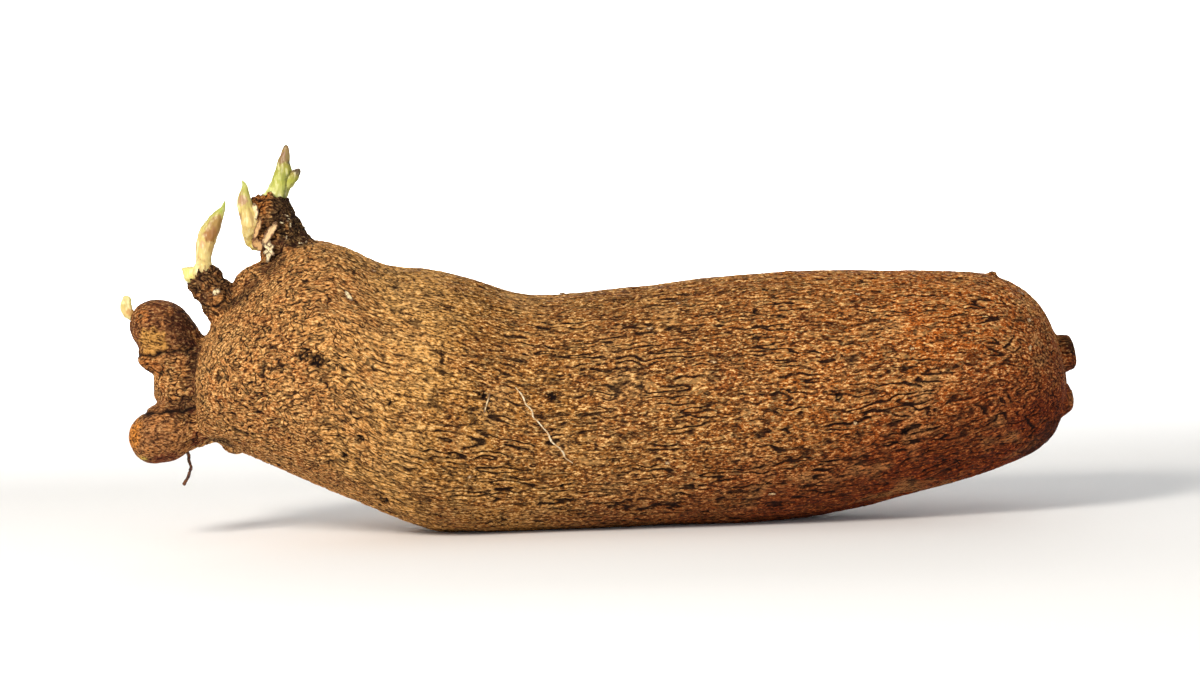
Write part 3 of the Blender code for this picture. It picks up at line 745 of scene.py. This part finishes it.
def husk(name, stump, reach, rise, lean):
    """A ragged sleeve round a stump. rise is how far its rim stands above the stump's top, in mm."""
    top, foot = stump
    obj = begin(
        name, bpy.ops.mesh.primitive_cylinder_add, vertices=HUSK_SIDES, radius=MM, depth=2 * MM,
        end_fill_type="NOTHING",
    )
    cut_rings(obj, 2, HUSK_RINGS)
    axis = Vector(top - foot).normalized()
    side = axis.cross(Vector((0, 1, 0))).normalized()
    front = side.cross(axis)
    places = []
    for x, y, z in corners(obj):
        way = side * x + front * y
        share = (z + 1) / 2
        coarse, fine = rough(np.array([[3 * x + 5, 3 * y, 1.0], [8 * x, 8 * y, 4.0]]))
        rim = rise + Vector(lean).dot(way) + (1.6 * coarse + 0.9 * fine)
        height = -reach + share * (reach + rim)
        level = Vector(top) + axis * min(height, -HUSK_SHOULDER)
        found = SURFACE.ray_cast(level * MM, way)[3] / MM
        found -= HUSK_TAPER * max(height + HUSK_SHOULDER, 0.0)
        flare = 0.3 * share * share + min(share / 0.3, 1.0) - 0.8  # its foot is tucked into the stump
        places.append(Vector(top) + axis * height + way * (min(found, WIDEST) + flare))
    move_corners(obj, np.array(places))
    edit_all(obj, bpy.ops.mesh.normals_make_consistent, inside=False)
    add_bark(obj)
    modify(obj, "SOLIDIFY", thickness=HUSK_WALL * MM, offset=-1)
    finish_piece(obj, BARK, "skin", "tuber")


husk("left_husk", LEFT_STUMP, 9.0, 0.6, (2.2, 0.3, 0.0))
husk("right_husk", RIGHT_STUMP, 11.0, 0.2, (1.0, -0.6, 0.0))

# %% [markdown]
# ## Shoots
#
# A young shoot is soft, moist and a little glossy. The forked one has seen light and is green; the others
# are still cream, with pink and brown streaks where leaves will unfold. They are copies of the packed
# shoots, remeshed finely, smoothed and gently ribbed along their length. Their colour runs from foot to
# tip, and dabs add what sits at one place, such as a brown tip.


# %% The shoots and the bud
def make_shoot(name, foot, middle, tip, streak):
    """Moist plant flesh, with its colour from foot to tip and streaks along it."""
    material, tree, shader = new_material(name, 0.40)
    shader.inputs["Subsurface Weight"].default_value = 0.10
    shader.inputs["Subsurface Radius"].default_value = (1.0, 0.6, 0.2)
    shader.inputs["Subsurface Scale"].default_value = 1.2 * MM
    along = add_node(tree, NOTED, {}, "Fac", attribute_name="along")
    here = add_node(tree, COORDINATES, {}, "Object")
    in_mm = add_node(tree, VECTORS, {0: here, 1: (1000, 1000, 260)}, operation="MULTIPLY")
    lines = add_node(tree, NOISE, {"Vector": in_mm, "Scale": 1 / 1.3, "Detail": 3.0})
    shift = add_node(tree, MATHS, {0: lines, 1: 0.4, 2: -0.2}, operation="MULTIPLY_ADD")
    place = add_node(tree, MATHS, {0: along, 1: shift}, operation="ADD")
    tone = add_node(tree, RAMP, {0: place})
    set_stops(tone, (0.05, foot), (0.45, middle), (0.95, tip))
    colour = under_dabs(tree, tone)
    for start, end, low, high, code in ((0.52, 0.66, 0.0, 0.55, streak), (0.30, 0.44, 0.45, 0.0, "FBF3C4")):
        share = add_node(tree, RANGE, {0: lines, 1: start, 2: end, 3: low, 4: high}, **EASED)
        colour = add_node(tree, MIX, {FACTOR: share, UNDER: colour, OVER: code}, MIXED, data_type="RGBA")
    tree.links.new(shader.inputs["Base Color"], colour)
    bump = add_node(tree, BUMP, {"Height": lines, "Strength": 0.7, "Distance": 0.4 * MM})
    tree.links.new(shader.inputs["Normal"], bump)
    return material


SHOOT_FACE = 0.3  # size of a shoot's faces in mm


def add_shoot(node, material, slot, dabs, swell=None):
    """A fleshy copy of a packed shoot, with dabs placed by shares of its box.

    swell moves its corners, in mm, before the ribs are raised.
    """
    start, _, end = box_of(node)
    dabs = [(start + (end - start) * shares, *look) for shares, *look in dabs]
    obj = remesh(copy_of(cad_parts[node], node + "_flesh"), SHOOT_FACE, 6)
    places = corners(obj)
    if swell:
        move_corners(obj, places + swell(places, outward(obj)))
        places = corners(obj)
    low_end, high_end = places[:, 2].min(), places[:, 2].max()
    note(obj, "along", (places[:, 2] - low_end) / (high_end - low_end))
    paint_dabs(obj, places, dabs, 0.8)
    ribs = 0.22 * rough(places / (1.3, 1.3, 7.0)) + 0.15 * rough(places / 2.0)
    move_corners(obj, places + outward(obj) * ribs[:, None])
    finish_piece(obj, material, slot, node)


GREEN = make_shoot("yam_shoot_green", "CDCB78", "A9AC3C", "8A6A40", "7A8230")
CREAM = make_shoot("yam_shoot_cream", "E6D68C", "D9BC74", "A6AC4A", "A87A4C")

add_shoot("forked_shoot", GREEN, "green_shoot", [
    ((0.90, 0.1, 0.15), 3.6, "626C1E", 0.80),
    ((1.00, 0.2, 0.42), 3.6, "5A5A1C", 0.80),
    ((0.72, 0.2, 0.78), 3.2, "8A5F48", 0.75),
    ((0.85, 0.5, 0.66), 2.2, "2A1A10", 0.85),
    ((0.72, 0.5, 1.00), 2.0, "5A5230", 0.80),
    ((0.20, 0.2, 0.20), 3.0, "E6EE9A", 0.50),
])
add_shoot("shoot_bract", GREEN, "green_shoot", [
    ((0.95, 0.5, 0.95), 3.0, "3A2416", 0.85),
    ((0.20, 0.5, 0.85), 2.2, "1E120A", 0.80),
], lambda places, facing: facing * 0.55)


def lean_on_stump(places, facing):
    """Fatten the hooked shoot on the side that leans on the stump."""
    start, _, end = box_of("hooked_shoot")
    share = (places[:, 2] - start[2]) / (end[2] - start[2])
    bulge = 1.7 * ease(share, 0.05, 0.30) * ease(-share, -0.95, -0.55)
    return np.outer(bulge * np.maximum(facing[:, 0], 0), (1.0, 0.0, 0.0))


add_shoot("hooked_shoot", CREAM, "pale_shoot", [
    ((0.20, 0.0, 0.72), 3.2, "A9686A", 0.60),
    ((0.10, 0.2, 0.50), 1.8, "8A5A40", 0.60),
    ((0.50, 0.3, 0.98), 2.4, "A8B050", 0.70),
    ((0.35, 0.3, 0.05), 4.2, "D9C24A", 0.60),
    ((0.80, 0.0, 0.10), 2.4, "8A5A2A", 0.70),
], lean_on_stump)


def flatten_foot(places, facing):
    """Press the swollen foot of the pointed shoot down to a collar."""
    start, _, end = box_of("pointed_shoot")
    level = start[2] + 6.2
    above = np.maximum(places[:, 2] - level, 0)
    press = ease(-(places[:, 0] - start[0]), -7.8, -4.8) * ease(-above, -10.0, -8.0)
    return np.outer(press * above * -0.85, (0.0, 0.0, 1.0))


add_shoot("pointed_shoot", CREAM, "pale_shoot", [
    ((0.10, 0.2, 0.10), 5.5, "EBDD78", 0.75),
    # Painted shade: orange-brown down the shoot's right side.
    ((0.70, 0.1, 0.58), 4.4, "965A24", 0.85),
    ((0.80, 0.3, 0.70), 4.2, "9A6A34", 0.75),
    ((0.45, 0.1, 0.48), 2.6, "C98A78", 0.65),
    ((0.95, 0.4, 0.93), 3.2, "9AA838", 0.80),
    ((1.00, 0.5, 1.00), 1.4, "3E5A20", 0.90),
], flatten_foot)
add_shoot("knob_bud", CREAM, "pale_shoot", [
    ((0.6, 0.0, 0.35), 1.8, "C08A4A", 0.80),
    ((0.3, 0.5, 0.85), 3.0, "F0E2A0", 0.80),
], lambda places, facing: facing * 0.35)


# %% [markdown]
# ## Bud scales
#
# Dry papery scales once wrapped the buds. Each has torn free along most of its edge and curled as it dried.
# A scale is thin, so it is a grid: its outline is narrowed towards both ends and frayed, its ends and edges
# are lifted, and it is thickened last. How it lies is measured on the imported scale, whose longest and
# thinnest directions come out of a singular value decomposition of its corners.


# %% The scales
def make_paper():
    """Dry bud scale: thin brown-edged paper, with darker spots, and matt."""
    material, tree, shader = new_material("bud_scale_dry_paper", 0.62)
    sheet = add_node(tree, NOTED, {}, "Vector", attribute_name="sheet")
    rim, _, tan = add_node(tree, SPLIT, {0: sheet}).node.outputs
    here = add_node(tree, COORDINATES, {}, "Object")
    scale = 1 / (1.2 * MM)
    patches = add_node(tree, NOISE, {"Vector": here, "Scale": scale, "Detail": 4.0, "Roughness": 0.6})
    shift = add_node(tree, MATHS, {0: patches, 1: 0.9, 2: -0.45}, operation="MULTIPLY_ADD")
    edge = add_node(tree, MATHS, {0: rim, 1: shift}, operation="ADD")
    edge = add_node(tree, RANGE, {0: edge, 1: 0.62, 2: 0.92, 4: 0.85}, **EASED)
    spots = add_node(tree, RANGE, {0: patches, 1: 0.50, 2: 0.66, 4: 0.6}, **EASED)
    colour = add_node(tree, MIX, {FACTOR: tan, UNDER: "EBDDB0", OVER: "C98F4A"}, MIXED, data_type="RGBA")
    for share, code in ((spots, "A8764A"), (edge, "5A2C14")):
        colour = add_node(tree, MIX, {FACTOR: share, UNDER: colour, OVER: code}, MIXED, data_type="RGBA")
    tree.links.new(shader.inputs["Base Color"], colour)
    bump = add_node(tree, BUMP, {"Height": patches, "Strength": 0.7, "Distance": 0.3 * MM})
    tree.links.new(shader.inputs["Normal"], bump)
    return material


PAPER = make_paper()
FLAKE_ROWS, FLAKE_COLUMNS, PAPER_WALL = 30, 14, 0.32


def flake(name, centre, directions, length, width, curl, tan, seed):
    """One curled, frayed scale. directions are its long, broad and outward unit vectors."""
    obj = begin(
        name, bpy.ops.mesh.primitive_grid_add, size=2 * MM,
        x_subdivisions=FLAKE_ROWS, y_subdivisions=FLAKE_COLUMNS,
    )
    places = corners(obj)
    along, across = places[:, 0], places[:, 1]
    steady = np.full(len(along), float(seed))
    fray = rough(np.stack([along * 2.4, np.sign(across) * 3.0, steady], axis=1))
    fray += 0.5 * rough(np.stack([along * 7.0, np.sign(across) * 5.0, steady + 9], axis=1))
    half = width / 2 * np.maximum(1 - np.abs(along) ** 3, 0.02) ** 0.6 * (1 + 0.45 * fray)
    ripple = 0.35 * rough(np.stack([along * 2.2, across * 1.6, steady + 4], axis=1))
    lift = curl * (along**2 + 0.6 * across**2) + ripple
    reach = length / 2 * along * (1 + 0.12 * fray)
    lines = np.stack([reach, half * across, lift], axis=1) @ np.array(directions)
    move_corners(obj, centre + lines)
    to_edge = np.maximum(np.abs(along), np.abs(across))
    note(obj, "sheet", np.stack([to_edge, across, np.full(len(along), tan)], axis=1))
    modify(obj, "SOLIDIFY", thickness=PAPER_WALL * MM, offset=0)
    return obj


def lie_of(node, out_from):
    """A packed scale's middle, size, and its long, broad and outward directions."""
    places = np.unique(corners(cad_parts[node]).round(3), axis=0)
    centre = (places.min(axis=0) + places.max(axis=0)) / 2
    directions = np.linalg.svd(places - centre)[2]
    if directions[2] @ (centre - out_from) < 0:
        directions[2] *= -1
    sizes = np.ptp((places - centre) @ directions.T, axis=0)
    return centre, directions, sizes


def turned(directions, degrees):
    """The same directions, turned within the sheet."""
    angle = math.radians(degrees)
    long_way = directions[0] * math.cos(angle) + directions[1] * math.sin(angle)
    broad_way = directions[1] * math.cos(angle) - directions[0] * math.sin(angle)
    return np.array([long_way, broad_way, directions[2]])


def join(first, *others):
    """Make several objects one, which keeps the first one's name."""
    pick(first)
    for other in others:
        other.select_set(True)
    bpy.ops.object.join()
    return first


STUMP_CORE = on_stump(RIGHT_STUMP, 0.5)
SCALES = {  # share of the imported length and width, curl in mm, and how tan it is
    "bud_scale_top": (1.0, 1.3, 0.3, 0.1),
    "bud_scale_long": (1.20, 0.9, 0.6, 0.7),
    "bud_scale_broad": (1.25, 0.95, 0.8, 0.5),
    "bud_scale_outer": (1.2, 1.2, 0.4, 0.8),
    "bud_scale_low": (1.35, 0.65, 0.6, 0.0),
}
for seed, (node, (longer, wider, curl, tan)) in enumerate(SCALES.items()):
    centre, directions, sizes = lie_of(node, STUMP_CORE)
    scale = flake(node + "_paper", centre, directions, sizes[0] * longer, sizes[1] * wider, curl, tan, seed)
    if node == "bud_scale_low":  # this one has split into three
        fork = centre + directions[0] * sizes[0] * 0.15 + directions[2] * 0.3
        for degrees, lift, number in ((58, 0.5, 21), (-42, 0.4, 22)):
            lie = turned(directions, degrees)
            join(scale, flake("branch", fork, lie, sizes[0] * 0.9, sizes[1] * 0.45, lift, tan, number))
    finish_piece(scale, PAPER, "papery_scale", node)

# %% [markdown]
# ## Loose flakes of bark
#
# Small dry flakes still cling to the bark, pale where their inner side shows, and one long fibre. On the
# right stump, tiny pale flakes are painted highlights where its dark bark glints. They are the same curled
# sheets, only smaller, laid on the skin. Most are scattered by chance, from a fixed seed.

# %% The loose flakes
scatter = np.random.default_rng(23)
FLAKE_SPAN, FLAKE_LOWEST = (-112, 170), 4.0  # where flakes lie along X, and the least height, in mm


def flake_at(place, length, width, tan, seed, way=None):
    """A small flake lying on the skin at a place on it, along a way or in a random direction."""
    found, facing, _, _ = SURFACE.find_nearest(Vector(place) * MM)
    facing = np.array(facing)
    turn = scatter.uniform(0, math.pi)
    first = np.cross(facing, np.cross(way, facing) if way else (0.0, math.sin(turn), math.cos(turn)))
    first /= np.linalg.norm(first)
    directions = np.array([first, np.cross(facing, first), facing])
    return flake("flake", np.array(found) / MM + facing * 0.15, directions, length, width, 0.25, tan, seed)


loose = [
    flake_at(front_at(-97.5, 97.5), 5.0, 2.0, 0.1, 40),
    flake_at(on_stump(LEFT_STUMP, 0.30, (2.0, -9.0, 0.0)), 3.4, 2.4, 0.0, 41),
    flake_at(front_at(-44.5, 55.0), 8.0, 0.5, 0.3, 39, (0.33, 0.0, 0.94)),
]
# Painted highlights: tiny pale flakes on the right stump's dark bark, where it glints.
for seed in range(42, 50):
    spot = on_stump(RIGHT_STUMP, scatter.uniform(0.15, 0.6), (scatter.uniform(2, 10), -9.0, 0.0))
    loose.append(flake_at(spot, scatter.uniform(1.0, 2.2), 0.5, 0.0, seed))
for seed in range(50, 86):
    spot = skin_at(scatter.uniform(*FLAKE_SPAN), scatter.uniform(0, 2 * math.pi))
    if spot[2] > FLAKE_LOWEST:
        loose.append(flake_at(spot, scatter.uniform(1.4, 3.2), scatter.uniform(0.7, 1.5), 0.5, seed))
flakes = join(*loose)
flakes.name = flakes.data.name = "bark_flakes_and_painted_glints"
finish_piece(flakes, PAPER, "papery_scale", "tuber")

# %% [markdown]
# ## Roots
#
# A dark dry rootlet hangs below the lower knob, and one hair root has dried onto the side of the tuber.
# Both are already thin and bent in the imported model, so they keep that course, sway a little, and are made
# uneven.


# %% The roots
def make_root(name, main, other, roughness, spacing):
    """Dry root skin, mottled along its length."""
    material, tree, shader = new_material(name, roughness)
    here = add_node(tree, COORDINATES, {}, "Object")
    scale = 1 / (spacing * MM)
    patches = add_node(tree, NOISE, {"Vector": here, "Scale": scale, "Detail": 4.0, "Roughness": 0.6})
    share = add_node(tree, RANGE, {0: patches, 1: 0.38, 2: 0.62}, **EASED)
    colour = add_node(tree, MIX, {FACTOR: share, UNDER: main, OVER: other}, MIXED, data_type="RGBA")
    tree.links.new(shader.inputs["Base Color"], colour)
    bump = add_node(tree, BUMP, {"Height": patches, "Strength": 0.6, "Distance": 0.3 * MM})
    tree.links.new(shader.inputs["Normal"], bump)
    return material


def add_root(node, material, slot, face, bumps, sway):
    """A copy of a packed root with bumps and sway, both in mm."""
    obj = remesh(copy_of(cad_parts[node], node + "_bark"), face, 2)
    places = corners(obj)
    level = places[:, 2] / 5.0
    places[:, 0] += sway * rough(np.stack([level, level * 0.3, level * 0.7], axis=1))
    move_corners(obj, places + outward(obj) * (bumps * rough(places / 1.2))[:, None])
    finish_piece(obj, material, slot, node)


ROOTLET = make_root("rootlet_dry_bark", "2E160C", "6A3E22", 0.8, 1.2)
HAIR = make_root("hair_root_dry", "F0E0BE", "C09A6A", 0.7, 1.5)
add_root("crown_rootlet", ROOTLET, "dark_root", 0.2, 0.25, 0.8)
add_root("hair_root", HAIR, "pale_root", 0.1, 0.10, 1.6)
bpy.data.objects.remove(smooth_tuber)

# %% [markdown]
# ## Floor, light and camera
#
# The yam lies on a pale sheet that curves up far behind it. A soft lamp stands high on the left and a weak
# one on the right, a wide one keeps the sheet white, and a long lens is held low.

# %% The stage
FLOOR_WIDTH, WALL_HEIGHT, FLOOR_CURVE = 9.6, 3.0, 0.5  # in metres
floor = begin("floor", bpy.ops.mesh.primitive_plane_add, size=FLOOR_WIDTH)
bpy.ops.object.mode_set(mode="EDIT")
bpy.ops.mesh.select_all(action="DESELECT")
sheet = bmesh.from_edit_mesh(floor.data)
for edge in sheet.edges:
    edge.select = all(vertex.co.y > 0 for vertex in edge.verts)
bmesh.update_edit_mesh(floor.data)
bpy.ops.mesh.extrude_region_move(TRANSFORM_OT_translate={"value": (0, 0, WALL_HEIGHT)})
bpy.ops.object.mode_set(mode="OBJECT")
modify(floor, "BEVEL", width=FLOOR_CURVE, segments=12)
floor.data.shade_smooth()
paper, _, paper_shader = new_material("pale_studio_paper", 0.9)
paper_shader.inputs["Base Color"].default_value = linear("FBFBFA")
floor.data.materials.append(paper)
print("floor in metres:", [round(side, 1) for side in floor.dimensions])

# %% Light and camera
MIDDLE = Vector((0.3, 0.0, 75.3)) * MM
VIEW_WIDTH, DISTANCE, SENSOR = 0.480, 1.8, 36.0  # metres, metres and millimetres
ROOM_LIGHT = 0.42
LOOK_DOWN, ROLL = math.radians(4.0), math.radians(2.0)


def add_lamp(name, place, size, power, colour):
    """A round lamp, size metres across, that points at the yam."""
    bpy.ops.object.light_add(type="AREA", location=place)
    lamp = bpy.context.object
    lamp.name = name
    lamp.data.shape = "DISK"
    lamp.data.size, lamp.data.energy, lamp.data.color = size, power, linear(colour)[:3]
    lamp.rotation_euler = (MIDDLE - Vector(place)).to_track_quat("-Z", "Y").to_euler()
    return lamp


add_lamp("key_lamp", (-0.75, -1.05, 0.88), 0.45, 20.0, "FFF8EE")
add_lamp("fill_lamp", (1.1, -1.3, 0.3), 1.0, 5.0, "F2F6FF")
wall_lamp = add_lamp("wall_lamp", (0, 1.7, 2.4), 2.6, 330.0, "FFFFFF")
wall_lamp.rotation_euler = (Vector((0, 4.6, 0.6)) - wall_lamp.location).to_track_quat("-Z", "Y").to_euler()

world = bpy.data.worlds.new("soft_room")
world.use_nodes = True
world.node_tree.nodes["Background"].inputs["Color"].default_value = linear("FFFFFF")
world.node_tree.nodes["Background"].inputs["Strength"].default_value = ROOM_LIGHT
bpy.context.scene.world = world

lens = bpy.data.cameras.new("camera")
lens.sensor_width, lens.lens = SENSOR, SENSOR * DISTANCE / VIEW_WIDTH
camera = bpy.data.objects.new("camera", lens)
bpy.context.scene.collection.objects.link(camera)
camera.location = MIDDLE + DISTANCE * Vector((0, -math.cos(LOOK_DOWN), math.sin(LOOK_DOWN)))
camera.rotation_euler = (
    Matrix.Rotation(math.pi / 2 - LOOK_DOWN, 4, "X") @ Matrix.Rotation(-ROLL, 4, "Z")
).to_euler()
bpy.context.scene.camera = camera
bpy.context.scene.view_settings.view_transform = "Standard"
print("camera in metres:", [round(place, 2) for place in camera.location])
